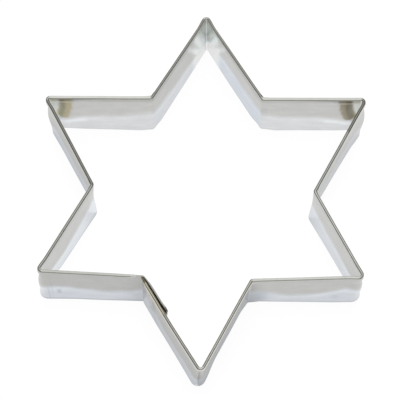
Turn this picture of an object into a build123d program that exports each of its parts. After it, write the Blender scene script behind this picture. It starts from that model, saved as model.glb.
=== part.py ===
from build123d import *
import os

# A six-pointed star cookie cutter, bent from one strip of tinplate.
# Millimetres. +Z runs from the cutting edge up to the folded rim, +Y points at the far tip, and the
# origin is the middle of the footprint, on the plane of the cutting edge.

# The star
tip_radius = 50.0  # middle of the star to the sheet's middle line at a tip
valley_radius = 29.4  # the same at an inner corner
strip_height = 22.0  # cutting edge to the top of the rim

# The sheet and its bends, as radii of the sheet's middle line
sheet_thickness = 0.3
rim_tip_bend = 0.6
rim_valley_bend = 1.0
edge_tip_bend = 1.4
edge_valley_bend = 1.5

# The hem, folded outwards and down
hem_space = 0.2  # air between the wall and the turned-down flap
hem_flap = 1.2  # straight part of the flap, below the round of the fold
hem_stop = 1.4  # the hem ends this far short of the seam's corner, where the inner layer begins

# The lap seam, at the lower left inner corner
lap_length = 12.0  # inner layer, past the corner
lap_space = 0.25  # air between the two layers
outer_end_setback = 0.6  # the outer layer starts this far past the corner
lap_snip = 1.2  # corner cut off the top of the inner layer's end

# The spot welds through the lap
weld_radius = 1.25
weld_distance = 5.2  # from the seam's corner, along the lap
lower_weld_height = 7.0
upper_weld_height = 15.5
weld_dimple = 0.05  # how far the electrodes sank each face

cut_overrun = 1.0

# Bending left every corner a little off an even star. Counter-clockwise from the seam's corner, each
# row gives the share of the corner's radius and the swing of its bearing in degrees, first at the rim
# and then at the cutting edge.
corner_shares = [
    ((1.015, -2.0), (1.015, -1.25)),
    ((1.015, 0.75), (1.01, -0.25)),
    ((0.98, -2.5), (0.945, -2.75)),
    ((0.98, 0.75), (0.995, 0.75)),
    ((1.01, -0.75), (1.0, -0.25)),
    ((1.01, 1.25), (1.025, 1.0)),
    ((1.015, -1.25), (1.015, -1.0)),
    ((0.98, 0.25), (0.995, 0.0)),
    ((0.985, -0.75), (0.965, -0.5)),
    ((0.985, 0.0), (0.995, 0.0)),
    ((0.995, 0.0), (0.99, 0.25)),
    ((0.985, -0.25), (1.01, 0.0)),
]
seam_bearing = 240.0
corner_pitch = 360.0 / len(corner_shares)

# Worked out from the sizes above
hem_inner_radius = hem_space / 2
hem_outer_radius = hem_inner_radius + sheet_thickness
fold_height = strip_height - hem_outer_radius
lap_step = sheet_thickness + lap_space
weld_reach = lap_step / 2 + sheet_thickness / 2 - weld_dimple


def star_corners(outline):
    """The twelve corners of the rim (outline 0) or of the cutting edge (outline 1)."""
    corners = []
    for number, row in enumerate(corner_shares):
        share, swing = row[outline]
        radius = valley_radius if number % 2 == 0 else tip_radius
        bearing = seam_bearing + corner_pitch * number + swing
        corners.append(Vector(radius * share, 0).rotate(Axis.Z, bearing))
    return corners


def seam_directions(corners):
    """Unit vectors at the seam: along the lap, into the star, and along the wall that arrives."""
    along = (corners[1] - corners[0]).normalized()
    inward = along.rotate(Axis.Z, 90)
    arriving = (corners[0] - corners[-1]).normalized()
    return along, inward, arriving


def wall_route(corners):
    """The sheet's middle line, from the outer layer's end round the star to the inner layer's end."""
    along, inward, arriving = seam_directions(corners)
    outer_end = corners[0] + along * outer_end_setback
    inner_corner = corners[0] + arriving * (lap_step / arriving.dot(inward))
    inner_end = inner_corner + along * lap_length
    return [outer_end, *corners[1:], inner_corner, inner_end]


def hem_route(corners):
    """The stretch of the same line that carries the hem."""
    arriving = seam_directions(corners)[2]
    return [*wall_route(corners)[:-2], corners[0] - arriving * hem_stop]


def bends(route, tip_bend, valley_bend):
    """One bend radius for each inner point of a route, which starts next to a tip."""
    return [tip_bend if number % 2 == 0 else valley_bend for number in range(len(route) - 2)]


rim_corners = star_corners(0)
edge_corners = star_corners(1)


def lap_plane(distance, height):
    """A plane midway between the two layers, facing into the star, X along the lap."""
    rim_along, rim_inward, _ = seam_directions(rim_corners)
    edge_along, edge_inward, _ = seam_directions(edge_corners)
    at_rim = rim_corners[0] + rim_along * distance + rim_inward * (lap_step / 2)
    at_edge = edge_corners[0] + edge_along * distance + edge_inward * (lap_step / 2)
    rise = Vector(at_rim.X, at_rim.Y, fold_height) - at_edge
    centre = at_edge + rise * (height / fold_height)
    along = edge_along + (rim_along - edge_along) * (height / fold_height)
    return Plane(origin=centre, x_dir=along, z_dir=rise.cross(along) * -1)


weld_planes = [lap_plane(weld_distance, height) for height in (lower_weld_height, upper_weld_height)]

# The strip
with BuildPart() as star_strip:
    # wall, from the cutting edge to where the fold begins
    edge_route = wall_route(edge_corners)
    with BuildSketch(Plane.XY):
        with BuildLine():
            edge_line = FilletPolyline(*edge_route, radius=bends(edge_route, edge_tip_bend, edge_valley_bend))
        trace(edge_line, line_width=sheet_thickness)
    rim_route = wall_route(rim_corners)
    with BuildSketch(Plane.XY.offset(fold_height)):
        with BuildLine():
            rim_line = FilletPolyline(*rim_route, radius=bends(rim_route, rim_tip_bend, rim_valley_bend))
        trace(rim_line, line_width=sheet_thickness)
    loft(ruled=True)

    # hem, one fold of the same sheet along the rim
    folded_route = [point + (0, 0, fold_height) for point in hem_route(rim_corners)]
    with BuildLine() as fold_line:
        FilletPolyline(*folded_route, radius=bends(folded_route, rim_tip_bend, rim_valley_bend))
    fold_start = fold_line.line @ 0
    fold_way = fold_line.line % 0
    fold_middle = (sheet_thickness / 2 + hem_inner_radius, 0)
    with BuildSketch(Plane(origin=fold_start, x_dir=fold_way.cross(Vector(0, 0, 1)), z_dir=fold_way * -1)):
        with BuildLine():
            outer = CenterArc(fold_middle, hem_outer_radius, 0, 180)
            inner = CenterArc(fold_middle, hem_inner_radius, 0, 180)
            Line(outer @ 1, inner @ 1)
            Polyline(outer @ 0, outer @ 0 - (0, hem_flap), inner @ 0 - (0, hem_flap), inner @ 0)
        make_face()
    sweep(path=fold_line.line)

    # corner cut off the inner layer's end, clear of the outer layer
    lap_end = lap_plane(lap_length, fold_height)
    with BuildSketch(lap_end):
        with BuildLine():
            Polyline((-lap_snip, cut_overrun), (cut_overrun, cut_overrun), (cut_overrun, -lap_snip), close=True)
        make_face()
    extrude(amount=cut_overrun, mode=Mode.SUBTRACT)

    # places of the spot welds
    for weld_plane in weld_planes:
        with BuildSketch(weld_plane):
            Circle(weld_radius)
        extrude(amount=cut_overrun, both=True, mode=Mode.SUBTRACT)

with BuildPart() as lower_spot_weld:
    with BuildSketch(weld_planes[0]):
        Circle(weld_radius)
    extrude(amount=weld_reach, both=True)

with BuildPart() as upper_spot_weld:
    with BuildSketch(weld_planes[1]):
        Circle(weld_radius)
    extrude(amount=weld_reach, both=True)

# Origin to the middle of the footprint
footprint = star_strip.part.bounding_box().center()
to_middle = Location((-footprint.X, -footprint.Y, 0))
star_strip.part.move(to_middle)
lower_spot_weld.part.move(to_middle)
upper_spot_weld.part.move(to_middle)

star_strip.part.label = "star_strip"
lower_spot_weld.part.label = "lower_spot_weld"
upper_spot_weld.part.label = "upper_spot_weld"

os.makedirs("parts", exist_ok=True)
export_step(star_strip.part, "parts/star_strip.step")
export_step(lower_spot_weld.part, "parts/lower_spot_weld.step")
export_step(upper_spot_weld.part, "parts/upper_spot_weld.step")
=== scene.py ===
import math

import bmesh
import bpy
import numpy as np
from mathutils import Matrix, Vector


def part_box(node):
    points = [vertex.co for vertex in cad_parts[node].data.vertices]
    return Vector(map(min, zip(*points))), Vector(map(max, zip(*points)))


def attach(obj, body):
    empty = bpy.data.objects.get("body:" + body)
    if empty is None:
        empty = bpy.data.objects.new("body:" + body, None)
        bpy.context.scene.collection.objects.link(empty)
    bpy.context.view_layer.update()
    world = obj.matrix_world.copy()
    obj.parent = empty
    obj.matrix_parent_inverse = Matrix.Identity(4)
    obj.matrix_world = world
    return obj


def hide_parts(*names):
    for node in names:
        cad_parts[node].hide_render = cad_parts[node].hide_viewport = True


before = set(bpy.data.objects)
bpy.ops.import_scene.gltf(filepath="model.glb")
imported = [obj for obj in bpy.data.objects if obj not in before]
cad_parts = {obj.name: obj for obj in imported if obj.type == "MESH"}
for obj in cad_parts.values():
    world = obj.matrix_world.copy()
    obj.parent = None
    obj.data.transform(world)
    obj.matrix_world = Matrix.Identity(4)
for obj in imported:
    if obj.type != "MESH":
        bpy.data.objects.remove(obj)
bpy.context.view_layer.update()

# A six-pointed star cookie cutter of bare tinplate, standing on its cutting edge. Shape sizes are in
# millimetres and are turned into metres where a mesh is made. Light, camera and floor are in metres.
MM = 0.001

# The sheet and the star, as the frame has them
TIP_RADIUS = 50.0
VALLEY_RADIUS = 29.4
STRIP_HEIGHT = 22.0
SHEET = 0.3
RIM_TIP_BEND = 0.6
RIM_VALLEY_BEND = 1.0
EDGE_TIP_BEND = 1.4
EDGE_VALLEY_BEND = 1.5
HEM_SPACE = 0.2
HEM_FLAP = 1.2
HEM_STOP = 0.6  # the hem's end shows a little nearer to the seam than in the frame
LAP_LENGTH = 11.6  # and the lap's end shows a little nearer to the seam's corner too
LAP_SPACE = 0.25
OUTER_END_SETBACK = 0.6
WELD_RADIUS = 1.25
WELD_DISTANCE = 5.2
WELD_HEIGHTS = {"lower_spot_weld": 7.0, "upper_spot_weld": 15.5}
SEAM_BEARING = 240.0

# Counter-clockwise from the seam's corner: share of the corner's radius and swing of its bearing in
# degrees, first at the rim and then at the cutting edge
CORNER_SHARES = [
    ((1.015, -2.0), (1.015, -1.25)),
    ((1.015, 0.75), (1.01, -0.25)),
    ((0.98, -2.5), (0.945, -2.75)),
    ((0.98, 0.75), (0.995, 0.75)),
    ((1.01, -0.75), (1.0, -0.25)),
    ((1.01, 1.25), (1.025, 1.0)),
    ((1.015, -1.25), (1.015, -1.0)),
    ((0.98, 0.25), (0.995, 0.0)),
    ((0.985, -0.75), (0.965, -0.5)),
    ((0.985, 0.0), (0.995, 0.0)),
    ((0.995, 0.0), (0.99, 0.25)),
    ((0.985, -0.25), (1.01, 0.0)),
]

# The strip's sides in the same order, named after where they lie on the star as the camera sees it.
# An even side starts at an inner corner and ends at a tip, and the last one is the lap's inner layer.
(LAP_OUTER, NEAR_TIP_RIGHT, NEAR_RIGHT_FRONT, NEAR_RIGHT_SIDE, FAR_RIGHT_SIDE, FAR_RIGHT_BACK, FAR_TIP_RIGHT,
 FAR_TIP_LEFT, FAR_LEFT_BACK, FAR_LEFT_SIDE, NEAR_LEFT_SIDE, NEAR_LEFT_FRONT, LAP_INNER) = range(13)
SIDES = LAP_INNER + 1

# Signs of hand work that the sheet shows
WALL_WAVE = 0.04  # ripple of the walls between the bends
SLOW_WAVE = (7.3, 9.0)  # its slow part: length along the strip and up the wall, per radian
QUICK_WAVE = (3.9, 6.1)  # and its quicker part
QUICK_WAVE_SHARE = 0.7
WAVE_START = 0.9
SLOW_WAVE_STEP = 1.7  # how far each part is out of step from one side to the next
QUICK_WAVE_STEP = 2.3
DIMPLE_DEPTH = 0.09  # pressed in round each weld
DIMPLE_RADIUS = 1.7
LAP_PINCH_SHARE = 0.9  # how much of the gap is closed at each weld
LAP_PINCH_RADIUS = 3.0
LAP_STANDOFF = 0.03  # at the rim the inner layer stands off the hemmed one
LAP_STANDOFF_FROM = 0.75  # share of the wall's height from which it does
LAP_SHIFT = 0.26  # towards the rim both layers lie a little further in
LAP_SHIFT_RUN_OUT = 4.0  # how far past the lap that ends on the outer layer
LAP_BLEND = 2.5  # both rise over this length on either side of the inner layer's corner
LAP_BURR = 0.16  # the inner layer's sheared edge is rolled over a little
LAP_BURR_POWER = 10
LAP_BURR_RISE = (0.5, 3.0)  # where it begins and where it is full, past the inner layer's corner
END_FLARE = 0.14  # the inner layer's end springs off a little more
END_FLARE_LENGTH = 3.0
END_FLARE_AT_FOOT = 0.25  # share of it at the cutting edge
END_ROUND = 1.6  # and its top corner is rounded off
END_ROUND_SHARE = 0.96  # a little short of a full quarter round
HEM_SQUASH_LENGTH = 3.0  # the hem thins towards its two ends
HEM_SQUASH_SHARE = 0.35
VALLEY_WEB = 0.12  # the hem's surplus bulges out in the inner corners
VALLEY_WEB_LENGTH = 1.8
BEAD_SWELL = 0.06  # the fold is a little fuller than a plain half round
BACK_BEAD_SWELL = 0.05  # and fuller still on the two back sides
BEAD_RISE = (-0.2, 1.0)  # where the swelling begins and where it is full, back from the hem's end
BEAD_DROP = 1.1  # how far below the fold it shows on the wall
FLAP_STAND = 0.14  # on the two front sides the flap's lower edge stands off
BACK_BULGE = 0.2  # under the rim the two back walls bulge in
BACK_BULGE_HEIGHT = 20.4
BACK_BULGE_REACH = 1.4

# How far each side's rim and each side's cutting edge lie outside the plain star
RIM_LEANS = {LAP_OUTER: 0.05, NEAR_TIP_RIGHT: 0.15, NEAR_RIGHT_FRONT: 0.15,
             FAR_RIGHT_SIDE: 0.2, FAR_RIGHT_BACK: -0.08, FAR_TIP_RIGHT: 0.03, FAR_TIP_LEFT: -0.12,
             FAR_LEFT_BACK: -0.2, FAR_LEFT_SIDE: 0.02, NEAR_LEFT_SIDE: -0.18, NEAR_LEFT_FRONT: 0.08}
EDGE_LEANS = {LAP_OUTER: -0.05, NEAR_TIP_RIGHT: 0.05, NEAR_RIGHT_FRONT: 0.06, NEAR_RIGHT_SIDE: -0.1,
              FAR_RIGHT_BACK: -0.3, FAR_TIP_RIGHT: 0.1, FAR_TIP_LEFT: -0.2, FAR_LEFT_BACK: -0.3,
              FAR_LEFT_SIDE: -0.15, NEAR_LEFT_SIDE: -0.25, NEAR_LEFT_FRONT: -0.03}

# At some tips the cutting edge is pushed over and swollen: way, swell and reach along the two sides
EDGE_TIPS = {
    LAP_OUTER: ((0.31, 0.52), 0.53, 9.0),
    NEAR_RIGHT_FRONT: ((0.15, 1.12), 1.0, 5.0),
    FAR_RIGHT_SIDE: ((0.45, 0.05), 0.0, 5.0),
    FAR_LEFT_BACK: ((-0.12, 0.0), 0.06, 7.0),
    NEAR_LEFT_SIDE: ((-0.1, 0.64), 0.84, 9.0),
}
EDGE_TIP_POWER = 1.5  # how fast that dies away upwards
SHARP_EDGE_TIPS = {FAR_TIP_RIGHT: 0.55}  # the far tip is bent more sharply at the cutting edge

# Some inner corners are rounder at the cutting edge: swell and reach
EDGE_VALLEYS = {FAR_RIGHT_BACK: (0.45, 4.0), FAR_TIP_LEFT: (0.32, 3.0), NEAR_TIP_RIGHT: (0.3, 3.0)}

# Some tips of the rim are drawn out
RIM_TIPS = {FAR_TIP_RIGHT: (0.0, 0.5), NEAR_LEFT_SIDE: (-0.15, 0.0), NEAR_RIGHT_FRONT: (0.12, -0.1),
            FAR_LEFT_BACK: (-0.1, 0.0)}
RIM_TIP_REACH = 3.0
RIM_TIP_POWER = 4  # how fast that dies away downwards

# Below the rim some bends stand out
BELLIES = {FAR_LEFT_BACK: 0.62, FAR_RIGHT_SIDE: 0.8, NEAR_LEFT_SIDE: 0.55, NEAR_RIGHT_FRONT: 0.58,
           FAR_LEFT_SIDE: 0.35, NEAR_RIGHT_SIDE: 0.2}
BELLY_HEIGHT = 12.0
BELLY_REACH = 10.5
BELLY_LENGTH = 3.0

# A small dent low on the near left front
DENT_FROM_TIP = 4.3
DENT_HEIGHT = 7.6
DENT_RADIUS = 1.1
DENT_DEPTH = 0.1

# Worked out
FOLD_RADIUS = HEM_SPACE / 2 + SHEET
FOLD_HEIGHT = STRIP_HEIGHT - FOLD_RADIUS
LAP_STEP = SHEET + LAP_SPACE
LAP_PINCH = LAP_SPACE / 2 * LAP_PINCH_SHARE
LEAST_BEND = 0.04  # no row is bent more sharply than this

# How finely the strip is divided
SIDE_STEPS = 40
CROWDING = 0.4  # how much closer its stations lie near the bends
LAP_STEPS = 44
BEND_STEPS = 10
WALL_STEPS = 44
SHOULDER_STEPS = 8
FOLD_STEPS = 14
FLAP_STEPS = 4


# The star's outline at any height
def star_corners(outline):
    """The twelve corners of the rim (0) or of the cutting edge (1)."""
    corners = []
    for number, row in enumerate(CORNER_SHARES):
        share, swing = row[outline]
        radius = (VALLEY_RADIUS if number % 2 == 0 else TIP_RADIUS) * share
        bearing = math.radians(SEAM_BEARING + 360.0 / len(CORNER_SHARES) * number + swing)
        corners.append((radius * math.cos(bearing), radius * math.sin(bearing)))
    return np.array(corners)


def unit(v):
    return v / np.linalg.norm(v)


def turned_left(v):
    return np.array([-v[1], v[0]])


def wall_route(corners):
    """The sheet's middle line, from the outer layer's end round the star to the inner layer's end."""
    along = unit(corners[1] - corners[0])
    inward = turned_left(along)
    arriving = unit(corners[0] - corners[-1])
    inner_corner = corners[0] + arriving * (LAP_STEP / (arriving @ inward))
    outer_end = corners[0] + along * OUTER_END_SETBACK
    return np.array([outer_end, *corners[1:], inner_corner, inner_corner + along * LAP_LENGTH])


RIM_ROUTE = wall_route(star_corners(0))
EDGE_ROUTE = wall_route(star_corners(1))


def route_at(height):
    level = min(height / FOLD_HEIGHT, 1.0)
    return EDGE_ROUTE + (RIM_ROUTE - EDGE_ROUTE) * level, level


def side_shares(side):
    """Stations along one side: closer near its bends, in the lap, and with one where the hem stops."""
    even = np.linspace(0.0, 1.0, SIDE_STEPS + 1)
    shares = (1 - CROWDING) * even + CROWDING * (0.5 - 0.5 * np.cos(np.pi * even))
    length = np.linalg.norm(RIM_ROUTE[side + 1] - RIM_ROUTE[side])
    if side == LAP_INNER:
        return np.linspace(0.0, 1.0, LAP_STEPS + 1)
    if side == LAP_OUTER:
        lapped = LAP_LENGTH / length
        return np.concatenate([np.linspace(0.0, lapped, LAP_STEPS + 1), lapped + (1 - lapped) * shares[1:]])
    if side == NEAR_LEFT_FRONT:
        seam_gap = np.linalg.norm(RIM_ROUTE[-2] - star_corners(0)[0])
        stop = 1.0 - (HEM_STOP + seam_gap) / length
        return np.concatenate([shares * stop, np.linspace(stop, 1.0, BEND_STEPS + 1)[1:]])
    return shares


SIDE_SHARES = [side_shares(side) for side in range(SIDES)]


def outline(height, offset):
    """Points and outward normals at every station of the strip, for one row of its section."""
    route, level = route_at(height)
    ways = [unit(b - a) for a, b in zip(route, route[1:])]
    outs = [-turned_left(way) for way in ways]
    moved = [route[0] + outs[0] * offset]
    for before, after, corner in zip(outs, outs[1:], route[1:-1]):
        moved.append(corner + (before + after) * offset / (1 + before @ after))
    moved.append(route[-1] + outs[-1] * offset)
    points, normals = [], []
    leaving = moved[0]
    for side in range(SIDES):
        last = side == LAP_INNER
        arriving = moved[-1]
        if not last:
            is_tip = side % 2 == 0
            rim_bend = RIM_TIP_BEND if is_tip else RIM_VALLEY_BEND
            edge_bend = SHARP_EDGE_TIPS.get(side, EDGE_TIP_BEND) if is_tip else EDGE_VALLEY_BEND
            hand = 1.0 if is_tip else -1.0
            bend = max(edge_bend + (rim_bend - edge_bend) * level + hand * offset, LEAST_BEND)
            turn = math.acos(ways[side] @ ways[side + 1])
            setback = bend * math.tan(turn / 2)
            arriving = moved[side + 1] - ways[side] * setback
        for share in SIDE_SHARES[side]:
            points.append(leaving + (arriving - leaving) * share)
            normals.append(outs[side])
        if last:
            break
        middle = arriving - outs[side] * hand * bend
        for step in range(1, BEND_STEPS):
            angle = hand * turn * step / BEND_STEPS
            out = outs[side] * math.cos(angle) + ways[side] * math.sin(angle)
            points.append(middle + out * hand * bend)
            normals.append(out)
        leaving = moved[side + 1] + ways[side + 1] * setback
    return np.array(points), np.array(normals)


def stations():
    """For each station: its side, its share of that side, and its place in the bend after it from 0 to 1."""
    sides, shares, turned = [], [], []
    for side in range(SIDES):
        count = len(SIDE_SHARES[side])
        sides += [side] * count
        shares += list(SIDE_SHARES[side])
        turned += [0.0] * count
        if side < LAP_INNER:
            sides += [side] * (BEND_STEPS - 1)
            shares += [1.0] * (BEND_STEPS - 1)
            turned += [step / BEND_STEPS for step in range(1, BEND_STEPS)]
    return np.array(sides), np.array(shares), np.array(turned)


STATION_SIDE, STATION_SHARE, STATION_TURNED = stations()
HEM_END_STATION = int(np.flatnonzero(STATION_SIDE == NEAR_LEFT_FRONT)[SIDE_STEPS])


def run_length(points):
    """Distance along the strip at every station of one row."""
    return np.cumsum(np.r_[0.0, np.linalg.norm(np.diff(points[:, :2], axis=0), axis=1)])


def bend_ends(side):
    """First and last station of the bend that ends a side."""
    inside = np.flatnonzero((STATION_SIDE == side) & (STATION_TURNED > 0))
    return inside[0] - 1, inside[-1] + 1


def from_bend(along, side):
    """Distance of every station from the nearer end of that bend, none inside it."""
    first, last = bend_ends(side)
    return np.maximum(np.maximum(along[first] - along, along - along[last]), 0.0)


def by_side(values):
    """A value per side at every station, blended through the bends."""
    here = np.array([values.get(side, 0.0) for side in range(SIDES + 1)])
    return here[STATION_SIDE] * (1 - STATION_TURNED) + here[STATION_SIDE + 1] * STATION_TURNED


# The strip's section, as rows that run its whole length
def section_rows():
    """Offset from the middle line, height, and distance across the sheet, for each row in turn."""
    half = SHEET / 2
    centre = half + HEM_SPACE / 2
    shoulder = FOLD_HEIGHT - 2 * BEAD_DROP
    wall = np.concatenate([np.linspace(0.0, shoulder, WALL_STEPS - SHOULDER_STEPS + 1),
                           np.linspace(shoulder, FOLD_HEIGHT, SHOULDER_STEPS + 1)[1:]])
    turn = np.linspace(math.pi, 0.0, FOLD_STEPS + 1)
    flap = np.linspace(0.0, HEM_FLAP, FLAP_STEPS + 1)
    over = (math.pi - turn) * centre

    def round_row(radius, angle, across):
        return centre + radius * math.cos(angle), FOLD_HEIGHT + radius * math.sin(angle), FOLD_HEIGHT + across

    def flap_row(radius, drop):
        return centre + radius, FOLD_HEIGHT - drop, FOLD_HEIGHT + over[-1] + drop

    return {
        "inner": [(-half, z, z) for z in wall],
        "fold": [round_row(FOLD_RADIUS, a, o) for a, o in zip(turn[1:], over[1:])],
        "flap": [flap_row(FOLD_RADIUS, drop) for drop in flap[1:]],
        "flap_back": [flap_row(HEM_SPACE / 2, drop) for drop in flap[::-1]],
        "fold_back": [round_row(HEM_SPACE / 2, a, o) for a, o in zip(turn[-2:0:-1], over[-2:0:-1])],
        "outer": [(half, z, z) for z in wall[::-1]],
    }


HEM_PARTS = ("fold", "flap", "flap_back", "fold_back")


def smooth_fall(distance, reach):
    """1 at no distance, 0 from reach on."""
    x = np.clip(1 - np.abs(distance) / reach, 0, 1)
    return x * x * (3 - 2 * x)


def smooth_rise(value, low, high):
    """0 up to low, 1 from high on."""
    x = np.clip((value - low) / (high - low), 0, 1)
    return x * x * (3 - 2 * x)


def lap_point(distance, height):
    """Midway between the lapped layers: place, direction along the lap, direction into the star."""
    ends = []
    for outline_number, level in ((0, FOLD_HEIGHT), (1, 0.0)):
        corners = star_corners(outline_number)
        along = unit(corners[1] - corners[0])
        flat = corners[0] + along * distance + turned_left(along) * LAP_STEP / 2
        ends.append((np.array([*flat, level]), np.array([*along, 0.0])))
    level = height / FOLD_HEIGHT
    (rim, rim_along), (edge, edge_along) = ends
    along = unit(edge_along + (rim_along - edge_along) * level)
    return edge + (rim - edge) * level, along, unit(np.cross(rim - edge, along))


# How far the star's middle lies from the frame's origin, read from a weld's place
lower_weld_low, lower_weld_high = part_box("lower_spot_weld")
weld_in_frame = (np.array(lower_weld_low) + np.array(lower_weld_high)) / 2 / MM
TO_MIDDLE = weld_in_frame - lap_point(WELD_DISTANCE, WELD_HEIGHTS["lower_spot_weld"])[0]


def hand_worked(points, normals, part, rows):
    """Moves one part's rows off the plain shape, as hand work does."""
    points = points.copy()
    out = np.dstack([normals, np.zeros(normals.shape[:2])])
    along = run_length(points[0])
    heights = points[:, :, 2].copy()
    on_wall = np.clip(heights / FOLD_HEIGHT, 0, 1)
    low = 1 - on_wall

    def push(amount):
        points[:] += out * amount[:, :, None]

    push(by_side(RIM_LEANS) * on_wall + by_side(EDGE_LEANS) * low)
    for side, (way, swell, reach) in EDGE_TIPS.items():
        near = smooth_fall(from_bend(along, side), reach) * low ** EDGE_TIP_POWER
        push(near * swell)
        points[:] += near[:, :, None] * np.array([*way, 0.0])
    for side, (swell, reach) in EDGE_VALLEYS.items():
        push(swell * smooth_fall(from_bend(along, side), reach) * low)
    for side, way in RIM_TIPS.items():
        near = smooth_fall(from_bend(along, side), RIM_TIP_REACH) * on_wall ** RIM_TIP_POWER
        points[:] += near[:, :, None] * np.array([*way, 0.0])
    for side, swell in BELLIES.items():
        belly = smooth_fall(heights - BELLY_HEIGHT, BELLY_REACH)
        push(swell * smooth_fall(from_bend(along, side), BELLY_LENGTH) * belly)

    middle = 4 * STATION_SHARE * (1 - STATION_SHARE) * (STATION_TURNED == 0)
    slow_along, slow_up = SLOW_WAVE
    quick_along, quick_up = QUICK_WAVE
    ripple = np.sin(along / slow_along + WAVE_START)
    ripple = ripple * np.cos(heights / slow_up + STATION_SIDE * SLOW_WAVE_STEP)
    quick = np.sin(along / quick_along + heights / quick_up + STATION_SIDE * QUICK_WAVE_STEP)
    ripple += QUICK_WAVE_SHARE * quick
    push(ripple * middle * WALL_WAVE * (1 - 0.5 * on_wall))

    in_hem = part in HEM_PARTS
    offsets = np.array([row[0] for row in rows])[:, None]
    bead_middle = SHEET / 2 + HEM_SPACE / 2
    shoulder = smooth_rise(heights, FOLD_HEIGHT - BEAD_DROP, FOLD_HEIGHT)
    hemmed = smooth_rise(along[HEM_END_STATION] - along, *BEAD_RISE)
    on_back = by_side({FAR_RIGHT_BACK: 1.0, FAR_LEFT_BACK: 1.0})
    if part != "outer":
        swell = BEAD_SWELL + BACK_BEAD_SWELL * on_back
        fuller = swell * np.clip((offsets - bead_middle) / FOLD_RADIUS, -1, 1)
        push(fuller * hemmed * (1.0 if in_hem else shoulder))
    if not in_hem:
        push(-BACK_BULGE * on_back * smooth_fall(heights - BACK_BULGE_HEIGHT, BACK_BULGE_REACH))
    if in_hem:
        hang = np.clip((FOLD_HEIGHT - heights) / HEM_FLAP, 0, 1)
        push(by_side({NEAR_LEFT_FRONT: FLAP_STAND, NEAR_RIGHT_FRONT: FLAP_STAND}) * hang)
        from_ends = np.minimum(along - along[0], along[HEM_END_STATION] - along)
        squash = HEM_SQUASH_SHARE * smooth_fall(from_ends, HEM_SQUASH_LENGTH)
        push(-(offsets + SHEET / 2) * squash)
        spread = (offsets + SHEET / 2) / (bead_middle + FOLD_RADIUS + SHEET / 2)
        corner = np.min([from_bend(along, side) for side in range(1, NEAR_LEFT_FRONT, 2)], axis=0)
        push(spread ** 2 * VALLEY_WEB * smooth_fall(corner, VALLEY_WEB_LENGTH))

    lapped_in = STATION_SIDE == LAP_INNER
    lapped_out = (STATION_SIDE == LAP_OUTER) & (along < LAP_LENGTH)
    for height in WELD_HEIGHTS.values():
        place, _, lap_in = lap_point(WELD_DISTANCE, height)
        away = points - place
        flat = away - (away @ lap_in)[:, :, None] * lap_in
        distance = np.linalg.norm(flat, axis=2)
        pinch = LAP_PINCH * smooth_fall(distance, LAP_PINCH_RADIUS)
        dimple = DIMPLE_DEPTH * smooth_fall(distance, DIMPLE_RADIUS)
        if not in_hem:
            push_in = (lapped_out * (pinch + dimple * (part == "outer")))[:, :, None]
            push_out = (lapped_in * (pinch + dimple * (part == "inner")))[:, :, None]
            points += (push_in - push_out) * lap_in
    end = along[-1]
    start = along[np.flatnonzero(lapped_in)[0]]
    entering = smooth_rise(along, start - LAP_BLEND, start + LAP_BLEND)
    push(-LAP_STANDOFF * entering * smooth_rise(on_wall, LAP_STANDOFF_FROM, 1.0))
    in_lap = smooth_fall(along, LAP_LENGTH + LAP_SHIFT_RUN_OUT) + entering
    push(-LAP_SHIFT * in_lap * on_wall ** 2)
    flare = END_FLARE_AT_FOOT + (1 - END_FLARE_AT_FOOT) * on_wall ** 2
    push(-END_FLARE * smooth_fall(end - along, END_FLARE_LENGTH) * lapped_in * flare)
    if part == "inner":
        push(-LAP_BURR * smooth_rise(along - start, *LAP_BURR_RISE) * on_wall ** LAP_BURR_POWER)
    if not in_hem:
        from_end = np.clip(END_ROUND - (end - along), 0, END_ROUND) * lapped_in
        drop = END_ROUND - np.sqrt(END_ROUND ** 2 - from_end ** 2 * END_ROUND_SHARE)
        points[:, :, 2] -= drop * on_wall

        tip_end = along[bend_ends(NEAR_LEFT_SIDE)[1]]
        distance = np.hypot(along - tip_end - DENT_FROM_TIP, heights - DENT_HEIGHT)
        push(-DENT_DEPTH * smooth_fall(distance, DENT_RADIUS) * (STATION_SIDE == NEAR_LEFT_FRONT))
    return points


# The sheet's stains and painted light, as a tint for every point of the strip. The upper part of the wall is
# painted duller and warmer than the lower part, a painted reflection: low down the metal shows the bright
# floor close to the foot. Per side, partly painted light and shade: brightness of the upper part and of the
# lower part, and how blue the lower part is.
SIDE_TONES = {
    LAP_OUTER: (0.88, 1.02, 0.07),
    NEAR_TIP_RIGHT: (1.24, 1.08, 0.06),
    NEAR_RIGHT_FRONT: (0.94, 1.02, 0.05),
    NEAR_RIGHT_SIDE: (0.97, 1.09, 0.04),
    FAR_RIGHT_SIDE: (1.05, 1.02, 0.03),
    FAR_RIGHT_BACK: (1.02, 1.08, -0.02),
    FAR_TIP_RIGHT: (1.01, 1.06, 0.1),
    FAR_TIP_LEFT: (0.92, 1.05, 0.02),
    FAR_LEFT_BACK: (1.01, 1.05, -0.02),
    FAR_LEFT_SIDE: (0.97, 1.08, 0.12),
    NEAR_LEFT_SIDE: (0.98, 1.26, 0.06),
    NEAR_LEFT_FRONT: (0.87, 1.0, 0.05),
    LAP_INNER: (0.95, 1.0, 0.03),
}

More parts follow.
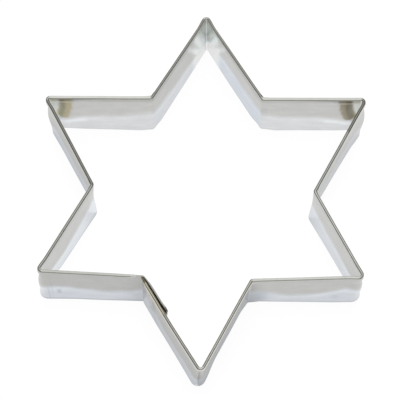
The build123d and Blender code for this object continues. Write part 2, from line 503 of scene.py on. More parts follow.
# The line between the two, as distance from the side's tip and height
BORDERS = {
    LAP_OUTER: [(0.0, 8.0), (12.0, 7.0), (28.0, 9.0)],
    NEAR_TIP_RIGHT: [(0.0, 9.0), (28.0, 9.0)],
    NEAR_RIGHT_FRONT: [(3.0, 12.5), (6.0, 10.0), (9.0, 8.0), (14.0, 7.0), (19.0, 7.0), (23.0, 8.5),
                       (27.0, 10.0)],
    NEAR_RIGHT_SIDE: [(4.0, 8.5), (9.0, 9.5), (14.0, 10.4), (22.0, 12.0)],
    FAR_RIGHT_SIDE: [(0.0, 8.0), (28.0, 8.0)],
    FAR_RIGHT_BACK: [(3.0, 7.2), (6.4, 8.4), (9.0, 9.2), (15.0, 9.8), (26.0, 10.6)],
    FAR_TIP_RIGHT: [(4.0, 8.5), (9.0, 11.0), (18.0, 12.0), (27.0, 12.0)],
    FAR_TIP_LEFT: [(3.0, 5.0), (8.0, 7.5), (15.0, 9.0), (22.0, 10.5)],
    FAR_LEFT_BACK: [(3.4, 7.2), (6.4, 8.4), (9.0, 9.2), (20.0, 10.5), (26.0, 11.6)],
    FAR_LEFT_SIDE: [(0.0, 8.0), (28.0, 8.0)],
    NEAR_LEFT_SIDE: [(6.0, 7.0), (12.0, 7.6), (18.0, 9.5), (26.0, 12.0)],
    NEAR_LEFT_FRONT: [(0.0, 11.0), (4.0, 10.0), (10.0, 9.0), (18.0, 7.6), (24.0, 8.5), (28.0, 11.0)],
    LAP_INNER: [(0.0, 9.0), (12.0, 9.0)],
}
# painted reflection: the upper tint duller and warmer, the lower one lighter and bluer
UPPER_TINT = (0.8, 0.785, 0.745)
LOWER_TINT = (0.96, 0.97, 0.985)
BLUER = (-0.5, 0.0, 0.7)  # what a side's blue adds to that
BORDER_WAVES = ((0.3, 2.9), (0.15, 1.1))  # height, and length along the strip per radian
BORDER_SOFTNESS = 1.6  # half the border's width near the tip
BORDER_SOFTER = 1.0  # how much more it is far from the tip
BORDER_SOFTENS = (8.0, 26.0)  # between these distances

# A painted reflection: a lighter streak just below the border, strongest near the tip
STREAK_DROP = 2.0
STREAK_REACH = 2.6
STREAK_LEAST = 0.4
STREAK_LENGTH = 18.0
STREAK_TINT = (1.09, 1.1, 1.09)

# Painted shade under the rim on the inside, per side: how dark it is and how far down it reaches
UNDER_RIM_SHADE = {
    FAR_TIP_RIGHT: (0.34, 3.2),
    FAR_TIP_LEFT: (0.44, 2.6),
    NEAR_RIGHT_SIDE: (0.16, 2.4),
    NEAR_LEFT_SIDE: (0.22, 2.8),
    FAR_LEFT_BACK: (0.24, 2.6),
    FAR_RIGHT_BACK: (0.14, 2.2),
}
UNDER_RIM_SHADE_TINT = (0.06, 0.04, 0.0)
UNDER_RIM_SHADE_POWER = 1.5  # how fast it ends downwards

# Painted light and shade on the hem: how bright it is on each side, first its round and then its flap
HEM_TONES = {
    LAP_OUTER: (1.38, 1.1),
    NEAR_TIP_RIGHT: (1.4, 1.4),
    NEAR_RIGHT_FRONT: (1.02, 0.83),
    NEAR_RIGHT_SIDE: (1.16, 1.0),
    FAR_RIGHT_SIDE: (0.95, 1.05),
    FAR_RIGHT_BACK: (1.0, 0.95),
    FAR_TIP_RIGHT: (1.38, 1.25),
    FAR_TIP_LEFT: (1.3, 1.15),
    FAR_LEFT_BACK: (1.08, 1.0),
    FAR_LEFT_SIDE: (0.98, 0.86),
    NEAR_LEFT_SIDE: (0.95, 0.92),
    NEAR_LEFT_FRONT: (0.92, 0.77),
}
HEM_TINT = (0.9, 0.885, 0.84)

# Painted shade along the foot, where the wall meets the floor: how dark it is on every side, and how much
# more on three of them
FOOT_LINE = 0.06
FOOT_LINES = {NEAR_LEFT_FRONT: 0.3, NEAR_RIGHT_FRONT: 0.22, NEAR_LEFT_SIDE: 0.28}
FOOT_LINE_HEIGHT = 1.4
FOOT_TINT = (0.0, 0.0, 0.03)

GAP_DULLNESS = 0.5  # grime in the mouth of the gap between the lapped layers
GAP_MOUTH = (4.0, 1.0)  # it rises between these depths below the fold

# Lines that more than one mark follows, as distance from the tip and distance across the sheet from its foot
WHOLE_RIM = [(0.0, 22.0), (30.0, 22.0)]
TIP_CORNER = [(0.0, 0.0), (0.0, 22.0)]
TIP_BEND = [(0.0, 6.0), (0.0, 21.0)]
LOW_STREAK = [(0.9, 1.0), (1.7, 4.0), (2.7, 8.0), (3.2, 11.0), (4.0, 14.0), (4.9, 17.0), (5.3, 19.5)]
HIGH_STREAK = [(3.9, 7.0), (5.7, 11.0), (6.8, 14.0), (8.1, 17.0), (9.2, 20.5)]
DARK_STREAK = [(0.2, 11.0), (0.9, 14.0), (1.9, 17.0), (2.8, 20.0)]

# Marks on the strip, stains and painted light alike: side, part, a line of points, half the mark's width, how
# much of that is soft, and tint
MARKS = [
    # painted reflections and shade beside the two far tips: brown bands with a golden edge, lighter corners
    # and lighter walls facing them, a darker top in each corner, and a lighter patch low down
    (FAR_LEFT_BACK, "inner", [(4.5, 21.5), (4.1, 17.0), (3.6, 14.0), (2.9, 11.0), (2.8, 9.6)], 2.1, 0.7,
     (0.74, 0.66, 0.43)),
    (FAR_LEFT_BACK, "inner", [(3.3, 21.5), (3.1, 17.0), (2.8, 14.0), (2.1, 11.0), (2.0, 9.6)], 1.0, 0.8,
     (0.74, 0.73, 0.7)),
    (FAR_LEFT_BACK, "inner", [(4.9, 20.0), (4.6, 17.0), (4.3, 14.0)], 0.5, 0.5, (1.1, 1.08, 0.98)),
    (FAR_RIGHT_BACK, "inner", [(4.4, 21.5), (3.8, 17.0), (3.4, 14.0), (2.7, 11.0), (2.1, 9.1)], 2.15, 0.7,
     (0.51, 0.45, 0.32)),
    (FAR_RIGHT_BACK, "inner", [(3.5, 21.5), (3.0, 17.0), (2.6, 14.0), (2.2, 11.0), (1.6, 9.1)], 1.2, 0.8,
     (0.68, 0.66, 0.6)),
    (FAR_RIGHT_BACK, "inner", [(5.1, 20.0), (4.6, 17.0), (4.3, 14.0)], 0.5, 0.5, (1.12, 1.1, 1.0)),
    (FAR_LEFT_BACK, "inner", [(0.2, 8.0), (1.0, 21.0)], 1.6, 0.6, (1.3, 1.3, 1.24)),
    (FAR_LEFT_BACK, "inner", [(0.0, 21.2), (1.4, 21.2)], 1.3, 1.2, (0.78, 0.78, 0.76)),
    (FAR_LEFT_SIDE, "inner", [(0.0, 0.0), (0.0, 21.0)], 5.0, 2.0, (1.22, 1.22, 1.18)),
    (FAR_RIGHT_BACK, "inner", [(0.2, 8.0), (0.9, 21.0)], 1.5, 0.6, (1.3, 1.33, 1.24)),
    (FAR_RIGHT_BACK, "inner", [(0.0, 21.2), (1.4, 21.2)], 1.3, 1.2, (0.72, 0.74, 0.7)),
    (FAR_RIGHT_SIDE, "inner", [(0.0, 0.0), (0.0, 21.0)], 5.0, 2.0, (1.22, 1.22, 1.18)),
    (FAR_LEFT_BACK, "inner", [(3.8, 5.4), (8.5, 6.6)], 1.5, 1.2, (1.13, 1.15, 1.16)),
    (FAR_RIGHT_BACK, "inner", [(3.8, 5.4), (8.0, 6.6)], 1.5, 1.2, (1.08, 1.1, 1.1)),
    # at the two far inner corners: a faint line and a darker patch beside the bends, and painted shade along
    # the bends
    (FAR_LEFT_BACK, "inner", [(26.3, 3.0), (26.3, 21.0)], 0.3, 0.3, (0.93, 0.93, 0.92)),
    (FAR_LEFT_BACK, "inner", [(28.2, 2.0), (28.2, 21.0)], 0.5, 0.5, (0.86, 0.86, 0.84)),
    (FAR_RIGHT_BACK, "inner", [(26.4, 8.5), (26.4, 15.5)], 1.2, 0.6, (0.94, 0.95, 0.95)),
    (FAR_RIGHT_BACK, "inner", [(28.2, 2.0), (28.2, 21.0)], 0.5, 0.5, (0.8, 0.8, 0.78)),
    # beside the far tip, painted reflections: lighter walls, painted shade along the bend, two bright streaks
    # and a dark one on each wall
    (FAR_TIP_RIGHT, "inner", TIP_CORNER, 8.0, 3.5, (1.38, 1.42, 1.42)),
    (FAR_TIP_LEFT, "inner", TIP_CORNER, 8.0, 3.5, (1.42, 1.46, 1.45)),
    (FAR_TIP_RIGHT, "inner", TIP_BEND, 1.0, 0.8, (0.74, 0.76, 0.76)),
    (FAR_TIP_LEFT, "inner", TIP_BEND, 1.0, 0.8, (0.82, 0.84, 0.84)),
    (FAR_TIP_RIGHT, "inner", LOW_STREAK, 1.1, 0.9, (1.22, 1.34, 1.4)),
    (FAR_TIP_LEFT, "inner", LOW_STREAK, 1.1, 0.9, (1.22, 1.34, 1.4)),
    (FAR_TIP_RIGHT, "inner", HIGH_STREAK, 1.1, 0.9, (1.4, 1.42, 1.5)),
    (FAR_TIP_LEFT, "inner", HIGH_STREAK, 1.1, 0.9, (1.4, 1.42, 1.5)),
    (FAR_TIP_RIGHT, "inner", DARK_STREAK, 0.7, 0.6, (0.76, 0.8, 0.8)),
    (FAR_TIP_LEFT, "inner", DARK_STREAK, 0.7, 0.6, (0.9, 0.93, 0.92)),
    # on the near left front: two faint lines low down, painted shade in the small dent, a faint lilac patch,
    # and a painted highlight on the hem by the seam
    (NEAR_LEFT_FRONT, "outer", [(1.2, 1.0), (1.2, 10.0)], 0.25, 0.2, (0.86, 0.86, 0.88)),
    (NEAR_LEFT_FRONT, "outer", [(2.1, 1.0), (2.1, 14.0)], 0.25, 0.2, (0.93, 0.93, 0.94)),
    (NEAR_LEFT_FRONT, "outer", [(4.0, 5.2), (4.1, 7.2)], 0.8, 0.6, (0.78, 0.79, 0.78)),
    (NEAR_LEFT_FRONT, "outer", [(6.0, 2.4), (10.0, 2.4)], 1.4, 1.2, (1.0, 0.95, 1.0)),
    (NEAR_LEFT_FRONT, "fold", [(24.2, 22.5), (26.6, 22.5)], 0.7, 0.4, (1.4, 1.42, 1.45)),
    # along the lap: a golden hem, its flap painted lighter as a highlight, painted shade on its inner half
    # and at the outer layer's start, a yellowish top to the wall, and blotches round the lower weld
    (LAP_OUTER, "fold", [(17.0, 22.4), (30.0, 22.4)], 0.5, 0.3, (1.0, 0.97, 0.86)),
    (LAP_OUTER, "fold", [(17.0, 21.75), (30.0, 21.75)], 0.45, 0.2, (0.8, 0.74, 0.62)),
    (LAP_OUTER, "fold", [(28.2, 22.0), (30.0, 22.0)], 1.2, 0.6, (0.4, 0.38, 0.33)),
    (LAP_OUTER, "flap", [(18.0, 23.4), (30.0, 23.4)], 1.4, 0.4, (1.1, 1.04, 0.84)),
    (LAP_OUTER, "outer", [(19.0, 20.0), (28.0, 19.0)], 2.6, 1.6, (1.05, 1.02, 0.86)),
    (LAP_OUTER, "outer", [(22.9, 14.5), (22.6, 9.5)], 1.4, 1.1, (0.72, 0.75, 0.76)),
    (LAP_OUTER, "outer", [(22.4, 6.0), (21.6, 1.0)], 1.4, 1.1, (0.84, 0.86, 0.87)),
    (LAP_OUTER, "outer", [(25.2, 15.0), (26.4, 9.0)], 1.7, 1.2, (1.13, 1.13, 1.22)),
    # painted shade down in the gap between the lapped layers, and on the inner layer's top and at its corner
    (LAP_OUTER, "inner", [(17.0, 21.0), (30.0, 21.0)], 2.4, 1.0, (0.6, 0.5, 0.34)),
    (LAP_INNER, "outer", [(15.0, 21.3), (31.0, 21.3)], 2.4, 1.0, (0.6, 0.5, 0.34)),
    (LAP_INNER, "inner", [(15.0, 21.6), (31.0, 21.6)], 0.7, 0.4, (0.62, 0.59, 0.53)),
    (LAP_INNER, "inner", [(16.0, 21.6), (18.4, 21.6)], 1.4, 0.8, (0.4, 0.4, 0.38)),
    # painted shade along most rims' tops, on the back ones where the fold leaves the wall
    (FAR_LEFT_BACK, "fold", [(0.0, 21.65), (30.0, 21.65)], 0.24, 0.12, (0.7, 0.68, 0.62)),
    (FAR_RIGHT_BACK, "fold", [(0.0, 21.65), (30.0, 21.65)], 0.2, 0.12, (0.8, 0.78, 0.72)),
    (LAP_OUTER, "fold", [(0.0, 22.0), (17.0, 22.0)], 0.34, 0.2, (0.66, 0.65, 0.62)),
    (NEAR_TIP_RIGHT, "fold", WHOLE_RIM, 0.3, 0.2, (0.75, 0.74, 0.71)),
    (FAR_TIP_RIGHT, "fold", WHOLE_RIM, 0.3, 0.2, (0.55, 0.55, 0.54)),
    (FAR_TIP_LEFT, "fold", WHOLE_RIM, 0.3, 0.2, (0.55, 0.55, 0.54)),
    (FAR_LEFT_SIDE, "fold", WHOLE_RIM, 0.3, 0.2, (0.6, 0.59, 0.57)),
    (FAR_RIGHT_SIDE, "fold", [(0.0, 22.0), (10.0, 22.0)], 0.36, 0.2, (0.6, 0.59, 0.55)),
    # and on the near right front: a darker patch near the tip, a darker patch by the inner corner that is a
    # painted reflection of the shaded floor beside the near tip, and a lighter curved streak
    (NEAR_RIGHT_FRONT, "outer", [(5.4, 4.5), (5.4, 6.0)], 1.6, 1.2, (0.9, 0.92, 0.9)),
    (NEAR_RIGHT_FRONT, "outer", [(25.6, 4.5), (25.6, 7.5)], 2.6, 1.6, (0.9, 0.93, 0.96)),
    (NEAR_RIGHT_FRONT, "outer", [(6.0, 10.0), (8.5, 7.4), (13.0, 5.2), (18.0, 4.6), (24.0, 7.6)], 0.7, 0.7,
     (1.05, 1.05, 1.05)),
]


def from_line(across, up, points):
    """Distance from a line of points in the wall's own plane."""
    nearest = np.full(up.shape, np.inf)
    for (x0, y0), (x1, y1) in zip(points, points[1:]):
        span = (x1 - x0) ** 2 + (y1 - y0) ** 2
        share = np.clip(((across - x0) * (x1 - x0) + (up - y0) * (y1 - y0)) / span, 0, 1)
        nearest = np.minimum(nearest, np.hypot(across - x0 - share * (x1 - x0), up - y0 - share * (y1 - y0)))
    return nearest


def stain_and_light_tint(part, rows, heights, along):
    """Tint and dullness of one part of the section: its stains and its painted light and shade."""
    tint = np.ones(heights.shape + (3,))
    dull = np.zeros(heights.shape)
    bend_middles = [along[list(bend_ends(side))].mean() for side in range(LAP_INNER)]
    corners = np.array([0.0, *bend_middles, along[-1]])
    after = along - corners[STATION_SIDE]
    length = corners[STATION_SIDE + 1] - corners[STATION_SIDE]
    from_tip = np.where(STATION_SIDE % 2 == 1, after, length - after)

    def shade(amount, colour):
        tint[:] *= 1 + amount[:, :, None] * (np.array(colour) - 1)

    def tones(table, column):
        return by_side({side: row[column] for side, row in table.items()})

    across = np.array([row[2] for row in rows])[:, None] * np.ones(heights.shape)

    def mark():
        for side, marked_part, points, half, soft_edge, colour in MARKS:
            if marked_part == part:
                amount = smooth_rise(half - from_line(from_tip, across, points), 0.0, soft_edge)
                shade(amount * (STATION_SIDE == side), colour)

    if part in HEM_PARTS:
        tint *= np.array(HEM_TINT)
        # painted light and shade: the hem's brightness per side
        if part in ("fold", "fold_back"):
            offsets = np.array([row[0] for row in rows])[:, None]
            outward = np.clip((offsets + SHEET / 2) / (2 * FOLD_RADIUS), 0, 1)
            turned = smooth_rise(outward, 0.6, 1.0)
            tint *= (tones(HEM_TONES, 0) * (1 - turned) + tones(HEM_TONES, 1) * turned)[:, :, None]
        else:
            tint *= (tones(HEM_TONES, 1) * np.ones(heights.shape))[:, :, None]
        mark()
        return tint, dull

    border = np.zeros(len(along))
    for side, points in BORDERS.items():
        here = STATION_SIDE == side
        border[here] = np.interp(from_tip[here], *zip(*points))
    straight = STATION_TURNED == 0
    border = np.interp(along, along[straight], border[straight])
    (slow_height, slow_length), (quick_height, quick_length) = BORDER_WAVES
    border += slow_height * np.sin(along / slow_length) + quick_height * np.sin(along / quick_length)
    soft = BORDER_SOFTNESS + BORDER_SOFTER * smooth_rise(from_tip, *BORDER_SOFTENS)
    # painted reflection: the wall duller and warmer above the border than below it
    upper = smooth_rise(heights, border - soft, border + soft)
    blue = tones(SIDE_TONES, 2)
    lower_tint = np.array(LOWER_TINT) + blue[:, None] * np.array(BLUER)
    tint *= (tones(SIDE_TONES, 0) * upper + tones(SIDE_TONES, 1) * (1 - upper))[:, :, None]
    tint *= np.array(UPPER_TINT) * upper[:, :, None] + lower_tint * (1 - upper)[:, :, None]
    # painted reflection: a lighter streak below the border
    streak = smooth_fall(heights - (border - STREAK_DROP), STREAK_REACH) * (1 - upper)
    near_tip = STREAK_LEAST + (1 - STREAK_LEAST) * smooth_fall(from_tip, STREAK_LENGTH)
    shade(streak * near_tip, STREAK_TINT)
    # painted shade under the rim on the inside
    if part == "inner":
        reach = np.maximum(tones(UNDER_RIM_SHADE, 1), 0.1)
        depth = np.clip((FOLD_HEIGHT - heights) / reach, 0, 1)
        shade(tones(UNDER_RIM_SHADE, 0) * (1 - depth ** UNDER_RIM_SHADE_POWER), UNDER_RIM_SHADE_TINT)
    # painted shade along the foot
    shade(smooth_fall(heights, FOOT_LINE_HEIGHT) * (FOOT_LINE + by_side(FOOT_LINES)), FOOT_TINT)
    mark()
    in_gap = (STATION_SIDE == LAP_INNER) * (part == "outer")
    in_gap = in_gap + (STATION_SIDE == LAP_OUTER) * (along < LAP_LENGTH) * (part == "inner")
    deep, shallow = GAP_MOUTH
    dull += in_gap * GAP_DULLNESS * smooth_rise(heights, FOLD_HEIGHT - deep, FOLD_HEIGHT - shallow)
    return tint, dull


def strip_grid():
    """Points, distances across the sheet, and stains with painted light and shade for each part of the
    section, and those along it.
    """
    grid, sheet, stain_and_light_tints = {}, {}, {}
    along = None
    for part, rows in section_rows().items():
        points, normals = [], []
        for offset, height, _ in rows:
            flat, out = outline(height, offset)
            points.append(np.c_[flat, np.full(len(flat), height)])
            normals.append(out)
        points = np.array(points)
        if along is None:
            along = run_length(points[-1])
        grid[part] = hand_worked(points, np.array(normals), part, rows)
        sheet[part] = [row[2] for row in rows]
        stain_and_light_tints[part] = stain_and_light_tint(part, rows, points[:, :, 2], along)
    return grid, sheet, stain_and_light_tints, along


def new_object(name, mesh):
    made = bpy.data.objects.new(name, mesh)
    bpy.context.scene.collection.objects.link(made)
    return made


def make_strip():
    """One closed sheet: hemmed as far as the seam's corner, bare where it runs inside the lap."""
    grid, sheet, stain_and_light_tints, along = strip_grid()
    columns = grid["inner"].shape[1]
    order, start, points = list(grid), {}, []
    for part in order:
        start[part] = len(points)
        points += list(grid[part])
    points = np.array(points) + TO_MIDDLE * [1, 1, 0]

    def at(row, column):
        return row * columns + column

    faces = []

    def band(row, next_row, first, last):
        for column in range(first, last):
            after = column + 1
            faces.append((at(row, column), at(row, after), at(next_row, after), at(next_row, column)))

    inner_top = start["inner"] + WALL_STEPS
    outer_top = start["outer"]
    outer_low = start["outer"] + WALL_STEPS
    for row in range(start["inner"], inner_top):
        band(row, row + 1, 0, columns - 1)
    for row in range(outer_top, outer_low):
        band(row, row + 1, 0, columns - 1)
    band(outer_low, start["inner"], 0, columns - 1)
    for row in range(inner_top, outer_top):
        band(row, row + 1, 0, HEM_END_STATION)
    band(inner_top, outer_top, HEM_END_STATION, columns - 1)

    wall_pairs = [(start["inner"] + k, outer_low - k) for k in range(WALL_STEPS + 1)]
    hem_pairs = [wall_pairs[-1]]
    hem_pairs += [(start["fold"] + k, outer_top - 1 - k) for k in range(FOLD_STEPS - 1)]
    flap_back_top = start["flap_back"] + FLAP_STEPS
    hem_pairs.append((start["fold"] + FOLD_STEPS - 1, flap_back_top))
    hem_pairs += [(start["flap"] + k, flap_back_top - 1 - k) for k in range(FLAP_STEPS)]

    def cap(pairs, column):
        for (a, b), (c, d) in zip(pairs, pairs[1:]):
            faces.append((at(a, column), at(b, column), at(d, column), at(c, column)))

    cap(wall_pairs + hem_pairs[1:], 0)
    cap(hem_pairs, HEM_END_STATION)
    cap(wall_pairs, columns - 1)

    mesh = bpy.data.meshes.new("tin_strip")
    mesh.from_pydata((points.reshape(-1, 3) * MM).tolist(), [], faces)

    # sheet coordinates: along the strip and across it, in centimetres
    across = np.array([v for part in order for v in sheet[part]])
    layer = mesh.uv_layers.new(name="sheet")
    loops = np.zeros(len(mesh.loops), dtype=np.int32)
    mesh.loops.foreach_get("vertex_index", loops)
    uv = np.c_[along[loops % columns], across[loops // columns]] / 10.0
    layer.data.foreach_set("uv", uv.astype(np.float32).ravel())

    # the sheet's stains and its painted light and shade as a colour at every point, and its dullness in the
    # alpha
    tint = np.concatenate([stain_and_light_tints[part][0] for part in order]).reshape(-1, 3)
    dull = np.concatenate([stain_and_light_tints[part][1] for part in order]).reshape(-1, 1)
    stain_and_light = mesh.color_attributes.new(name="stain_and_light", type="FLOAT_COLOR", domain="POINT")
    stain_and_light.data.foreach_set("color", np.hstack([tint, dull]).astype(np.float32).ravel())

    work = bmesh.new()
    work.from_mesh(mesh)
    loose = [v for v in work.verts if not v.link_faces]
    bmesh.ops.delete(work, geom=loose, context="VERTS")
    bmesh.ops.recalc_face_normals(work, faces=work.faces)
    work.to_mesh(mesh)
    work.free()
    mesh.polygons.foreach_set("use_smooth", [True] * len(mesh.polygons))
    mesh.set_sharp_from_angle(angle=math.radians(40))
    return new_object("tin_strip", mesh)


def make_weld(name, height):
    """A pressed weld: a shallow dish with a raised lip on each outer face, and the metal between."""
    place, along, into = lap_point(WELD_DISTANCE, height)
    up = np.cross(into, along)
    reach = LAP_STEP / 2 + SHEET / 2 - LAP_PINCH
    dish = [(0.0, -0.05), (0.3, -0.048), (0.6, -0.04), (0.85, -0.02), (1.0, -0.002), (1.12, 0.002),
            (1.25, -0.02)]
    profile = [(r, reach + h) for r, h in dish] + [(r, -reach - h) for r, h in dish[::-1]]
    around = 48
    verts, faces = [], []
    for radius, out in profile:
        scaled = radius * WELD_RADIUS / dish[-1][0]
        for step in range(around):
            angle = 2 * math.pi * step / around
            flat = along * math.cos(angle) + up * math.sin(angle)
            verts.append((place + TO_MIDDLE * [1, 1, 0] + flat * scaled + into * out) * MM)
    for ring in range(len(profile) - 1):
        for step in range(around):
            after = (step + 1) % around
            faces.append((ring * around + step, ring * around + after,
                          (ring + 1) * around + after, (ring + 1) * around + step))
    mesh = bpy.data.meshes.new(name + "_mark")
    mesh.from_pydata([tuple(v) for v in verts], [], faces)
    work = bmesh.new()
    work.from_mesh(mesh)
    bmesh.ops.remove_doubles(work, verts=work.verts, dist=1e-7)
    bmesh.ops.recalc_face_normals(work, faces=work.faces)
    work.to_mesh(mesh)
    work.free()
    mesh.polygons.foreach_set("use_smooth", [True] * len(mesh.polygons))
    return new_object(name + "_mark", mesh)


# Materials
class Nodes:
    """A short way to write a node tree."""

    def __init__(self, tree):
        self.tree = tree

    def add(self, kind, inputs=(), **settings):
        node = self.tree.nodes.new(kind)
        for key, value in settings.items():
            setattr(node, key, value)
        for key, value in dict(inputs).items():
            if isinstance(value, bpy.types.NodeSocket):
                self.tree.links.new(value, node.inputs[key])
            else:
                node.inputs[key].default_value = value
        return node

    def math(self, operation, a, b=0.0):
        return self.add("ShaderNodeMath", {0: a, 1: b}, operation=operation).outputs[0]

    def dot(self, a, b):
        return self.add("ShaderNodeVectorMath", {0: a, 1: b}, operation="DOT_PRODUCT").outputs["Value"]

    def noise(self, vector, scale, detail, roughness):
        settings = {"Vector": vector, "Scale": scale, "Detail": detail, "Roughness": roughness}
        return self.add("ShaderNodeTexNoise", settings).outputs["Fac"]

    def stretched(self, vector, scale):
        return self.add("ShaderNodeMapping", {"Vector": vector, "Scale": scale}).outputs["Vector"]

    def ramp(self, factor, low, high, start=0.0, end=1.0):
        settings = {"Value": factor, "From Min": low, "From Max": high, "To Min": start, "To Max": end}
        return self.add("ShaderNodeMapRange", settings, interpolation_type="SMOOTHSTEP").outputs["Result"]

    def mix(self, factor, a, b, blend="MIX"):
        node = self.add("ShaderNodeMix", {0: factor, 6: a, 7: b}, data_type="RGBA", blend_type=blend)
        return node.outputs[2]


def new_material(name):
    material = bpy.data.materials.new(name)
    material.use_nodes = True
    tree = material.node_tree
    tree.nodes.clear()
    nodes = Nodes(tree)
    shader = nodes.add("ShaderNodeBsdfPrincipled")
    output = nodes.add("ShaderNodeOutputMaterial", {"Surface": shader.outputs[0]})
    return material, nodes, shader, output


def put(nodes, shader, **inputs):
    for key, value in inputs.items():
        socket = shader.inputs[key.replace("_", " ")]
        if isinstance(value, bpy.types.NodeSocket):
            nodes.tree.links.new(value, socket)
        else:
            socket.default_value = value


def tin_material():
    """Dull-bright tinplate: rolling lines along the strip, cloudy tin, and the sheet's stains with its
    painted light and shade.
    """
    material, nodes, shader, _ = new_material("tinplate")
    sheet = nodes.add("ShaderNodeUVMap", uv_map="sheet").outputs[0]
    stain_and_light = nodes.add("ShaderNodeVertexColor", layer_name="stain_and_light")
    clouds = nodes.noise(nodes.stretched(sheet, (1.2, 2.2, 1.0)), 1.6, 4.0, 0.6)
    fine = nodes.noise(nodes.stretched(sheet, (3.0, 60.0, 1.0)), 3.0, 3.0, 0.6)
    tin = (0.77, 0.78, 0.8, 1)
    tone = nodes.mix(1.0, tin, stain_and_light.outputs["Color"], "MULTIPLY")
    cloudy = nodes.mix(nodes.ramp(clouds, 0.3, 0.75), (0.95, 0.95, 0.95, 1), (1.04, 1.04, 1.04, 1))
    tone = nodes.mix(1.0, tone, cloudy, "MULTIPLY")
    lines = nodes.mix(nodes.ramp(fine, 0.3, 0.7), (0.985, 0.985, 0.985, 1), (1.01, 1.01, 1.01, 1))
    tone = nodes.mix(1.0, tone, lines, "MULTIPLY")
    roughness = nodes.math("ADD", nodes.math("MULTIPLY", clouds, 0.08), 0.1)
    roughness = nodes.math("ADD", roughness, stain_and_light.outputs["Alpha"])
    bump = nodes.add("ShaderNodeBump", {"Strength": 0.06, "Distance": 0.0001, "Height": fine})
    put(nodes, shader, Metallic=1.0, Base_Color=tone, Roughness=roughness, Normal=bump.outputs[0],
        Specular_Tint=(0.9, 0.9, 0.9, 1))
    return material


def weld_material():
    """Pressed and slightly burnt tin."""
    material, nodes, shader, _ = new_material("weld_metal")
    place = nodes.add("ShaderNodeTexCoord").outputs["Object"]
    grain = nodes.noise(place, 2600.0, 3.0, 0.6)
    tone = nodes.mix(grain, (0.5, 0.5, 0.51, 1), (0.66, 0.66, 0.66, 1))
    bump = nodes.add("ShaderNodeBump", {"Strength": 0.3, "Distance": 0.00004, "Height": grain})
    put(nodes, shader, Metallic=1.0, Base_Color=tone, Roughness=0.34, Normal=bump.outputs[0])
    return material


# Floor, world and lamps. Beside four of the sides the floor lies in the star's own shade: how bright the
# metal sees it there, at the foot and at the end of the shade.
FLOOR_SHADES = {NEAR_TIP_RIGHT: (0.58, 1.0), LAP_OUTER: (0.8, 0.97), FAR_RIGHT_SIDE: (0.84, 1.0),
                FAR_LEFT_SIDE: (0.78, 1.0)}
SHADE_REACH = 0.008
SHADE_END = 0.014
SHADE_INSIDE = 0.0005  # it begins this far inside the foot
SHADE_RUN_OUT = 0.006  # and runs out this far past the side's two ends
FLOOR_SIZE = 3.0
PAPER_SIDES = (0.06, 0.12)  # to the metal the paper fades out between these distances from the middle
PAPER_FRONT = (-0.13, -0.07)
PAPER_GLOW = 0.88  # how bright the metal sees the paper
BEYOND_GLOW = 0.27  # and what lies beyond it
CAMERA_SHARE = 0.95  # how much of the floor's look is its glow, to the camera
MIRRORED_SHARE = 0.9  # and in the metal


def shade_of_side(nodes, place, side, near, far):
    """1 away from that side, less on the floor just outside it."""
    foot = (EDGE_ROUTE[side:side + 2] + TO_MIDDLE[:2]) * MM
    way = unit(foot[1] - foot[0])
    out = -turned_left(way)
    length = float(np.linalg.norm(foot[1] - foot[0]))
    away = nodes.math("SUBTRACT", nodes.dot(place, (*out, 0.0)), float(out @ foot[0]))
    along = nodes.math("SUBTRACT", nodes.dot(place, (*way, 0.0)), float(way @ foot[0]))
    depth = nodes.ramp(away, 0.0, SHADE_REACH, 1 - near, 1 - far)
    past_foot = nodes.ramp(away, -SHADE_INSIDE, 0.0)
    in_reach = nodes.ramp(away, SHADE_REACH, SHADE_END, 1.0, 0.0)
    outside = nodes.math("MULTIPLY", past_foot, in_reach)
    past_start = nodes.ramp(along, -SHADE_RUN_OUT, 0.0)
    before_end = nodes.ramp(along, length, length + SHADE_RUN_OUT, 1.0, 0.0)
    beside = nodes.math("MULTIPLY", past_start, before_end)
    return nodes.math("SUBTRACT", 1.0, nodes.math("MULTIPLY", depth, nodes.math("MULTIPLY", outside, beside)))


def make_floor():
    """White paper that the camera sees as the white ground, with a faint shadow. To the metal it is a sheet
    that ends a little past the star in front and at the sides."""
    mesh = bpy.data.meshes.new("floor")
    corners = [(x * FLOOR_SIZE, y * FLOOR_SIZE, 0) for x, y in ((-1, -1), (1, -1), (1, 1), (-1, 1))]
    mesh.from_pydata(corners, [], [(0, 1, 2, 3)])
    floor = new_object("floor", mesh)
    material, nodes, shader, output = new_material("white_ground")
    put(nodes, shader, Base_Color=(0.8, 0.8, 0.8, 1), Roughness=0.8)
    spot = nodes.add("ShaderNodeTexCoord").outputs["Object"]
    place = nodes.add("ShaderNodeSeparateXYZ", {0: spot})
    sideways = nodes.ramp(nodes.math("ABSOLUTE", place.outputs["X"]), *PAPER_SIDES, 1.0, 0.0)
    forwards = nodes.ramp(place.outputs["Y"], *PAPER_FRONT)
    paper = nodes.ramp(nodes.math("MULTIPLY", sideways, forwards), 0.0, 1.0, BEYOND_GLOW, PAPER_GLOW)
    for side, (near, far) in FLOOR_SHADES.items():
        paper = nodes.math("MULTIPLY", paper, shade_of_side(nodes, spot, side, near, far))
    path = nodes.add("ShaderNodeLightPath")
    camera = path.outputs["Is Camera Ray"]
    mirrored = nodes.math("MAXIMUM", path.outputs["Is Glossy Ray"], path.outputs["Is Transmission Ray"])
    glow = nodes.math("MAXIMUM", paper, camera)
    to_camera = nodes.math("MULTIPLY", camera, CAMERA_SHARE)
    share = nodes.math("ADD", to_camera, nodes.math("MULTIPLY", mirrored, MIRRORED_SHARE))
    light = nodes.add("ShaderNodeEmission", {"Color": (1, 1, 1, 1), "Strength": glow})
    mixed = nodes.add("ShaderNodeMixShader", {0: share, 1: shader.outputs[0], 2: light.outputs[0]})
    nodes.tree.links.new(mixed.outputs[0], output.inputs["Surface"])
    mesh.materials.append(material)


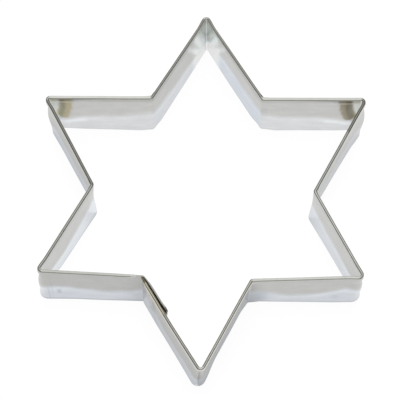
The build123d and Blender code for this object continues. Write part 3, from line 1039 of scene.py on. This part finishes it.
def make_world():
    """White to the camera. To the metal it is a studio: a light strip overhead that runs from the camera's
    side over the star to the far horizon, between darker walls."""
    world = bpy.data.worlds.new("studio")
    world.use_nodes = True
    world.node_tree.nodes.clear()
    nodes = Nodes(world.node_tree)
    way = nodes.add("ShaderNodeSeparateXYZ", {0: nodes.add("ShaderNodeTexCoord").outputs["Generated"]})
    across = nodes.ramp(nodes.math("ABSOLUTE", way.outputs["X"]), 0.14, 0.34, 1.0, 0.0)
    lean = nodes.math("ARCTAN2", way.outputs["Y"], way.outputs["Z"])
    over = nodes.ramp(lean, -0.95, -0.6)
    strip_light = nodes.math("MULTIPLY", across, over)
    walls = nodes.mix(across, (0.25, 0.25, 0.23, 1), (0.36, 0.36, 0.335, 1))
    room = nodes.mix(strip_light, walls, (0.9, 0.9, 0.87, 1))
    path = nodes.add("ShaderNodeLightPath")
    studio = nodes.add("ShaderNodeBackground", {"Color": room, "Strength": 1.0})
    white = nodes.add("ShaderNodeBackground", {"Color": (1, 1, 1, 1), "Strength": 1.0})
    mixed = nodes.add("ShaderNodeMixShader", {0: path.outputs["Is Camera Ray"], 1: studio.outputs[0],
                                              2: white.outputs[0]})
    nodes.add("ShaderNodeOutputWorld", {"Surface": mixed.outputs[0]})
    bpy.context.scene.world = world


def make_lamp(name, azimuth, elevation, distance, width, height, power):
    """A soft box that faces the star. Azimuth is counter-clockwise from +X, in degrees."""
    a, e = math.radians(azimuth), math.radians(elevation)
    place = Vector((math.cos(a) * math.cos(e), math.sin(a) * math.cos(e), math.sin(e))) * distance
    data = bpy.data.lights.new(name, "AREA")
    data.shape = "RECTANGLE"
    data.size, data.size_y = width, height
    data.energy = power
    lamp = bpy.data.objects.new(name, data)
    lamp.location = place
    lamp.rotation_mode = "QUATERNION"
    lamp.rotation_quaternion = place.to_track_quat("Z", "Y")
    lamp.visible_camera = False
    lamp.visible_glossy = False
    bpy.context.scene.collection.objects.link(lamp)


def make_camera():
    """The photograph's view: a long lens from well above the front."""
    azimuth, elevation, roll = math.radians(0.19), math.radians(70.22), math.radians(1.25)
    distance = 659.0
    focal_pixels = 2426.0
    frame_pixels = 400.0
    middle_pixel = (202.2, 200.3)
    back = Vector((math.sin(azimuth) * math.cos(elevation), -math.cos(azimuth) * math.cos(elevation),
                   math.sin(elevation)))
    right = (-back).cross(Vector((0, 0, 1))).normalized()
    up = right.cross(-back)
    middle = Vector((TO_MIDDLE[0], TO_MIDDLE[1], STRIP_HEIGHT / 2)) * MM
    place = middle + back * distance * MM
    turned_right = right * math.cos(roll) + up * math.sin(roll)
    turned_up = -right * math.sin(roll) + up * math.cos(roll)
    pixel = distance * MM / focal_pixels
    aim = middle - turned_right * (middle_pixel[0] - frame_pixels / 2) * pixel
    aim += turned_up * (middle_pixel[1] - frame_pixels / 2) * pixel
    ahead = (place - aim).normalized()
    side = turned_up.cross(ahead).normalized()
    data = bpy.data.cameras.new("camera")
    data.sensor_width = 36.0
    data.lens = focal_pixels / frame_pixels * data.sensor_width
    data.clip_start, data.clip_end = 0.01, 20.0
    camera = bpy.data.objects.new("camera", data)
    rotation = Matrix((side, ahead.cross(side), ahead)).transposed()
    camera.matrix_world = Matrix.Translation(place) @ rotation.to_4x4()
    bpy.context.scene.collection.objects.link(camera)
    bpy.context.scene.camera = camera


make_camera()

strip = make_strip()
strip.data.materials.append(tin_material())
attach(strip, "root")
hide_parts("star_strip")

weld_metal = weld_material()
for node, height in WELD_HEIGHTS.items():
    mark = make_weld(node, height)
    mark.data.materials.append(weld_metal)
    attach(mark, "root")
    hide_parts(node)

make_floor()
make_world()
make_lamp("back_box", azimuth=90, elevation=48, distance=1.2, width=0.9, height=0.9, power=16.0)
make_lamp("top_box", azimuth=270, elevation=88, distance=1.2, width=0.5, height=0.5, power=14.0)

bpy.context.scene.view_settings.view_transform = "Standard"
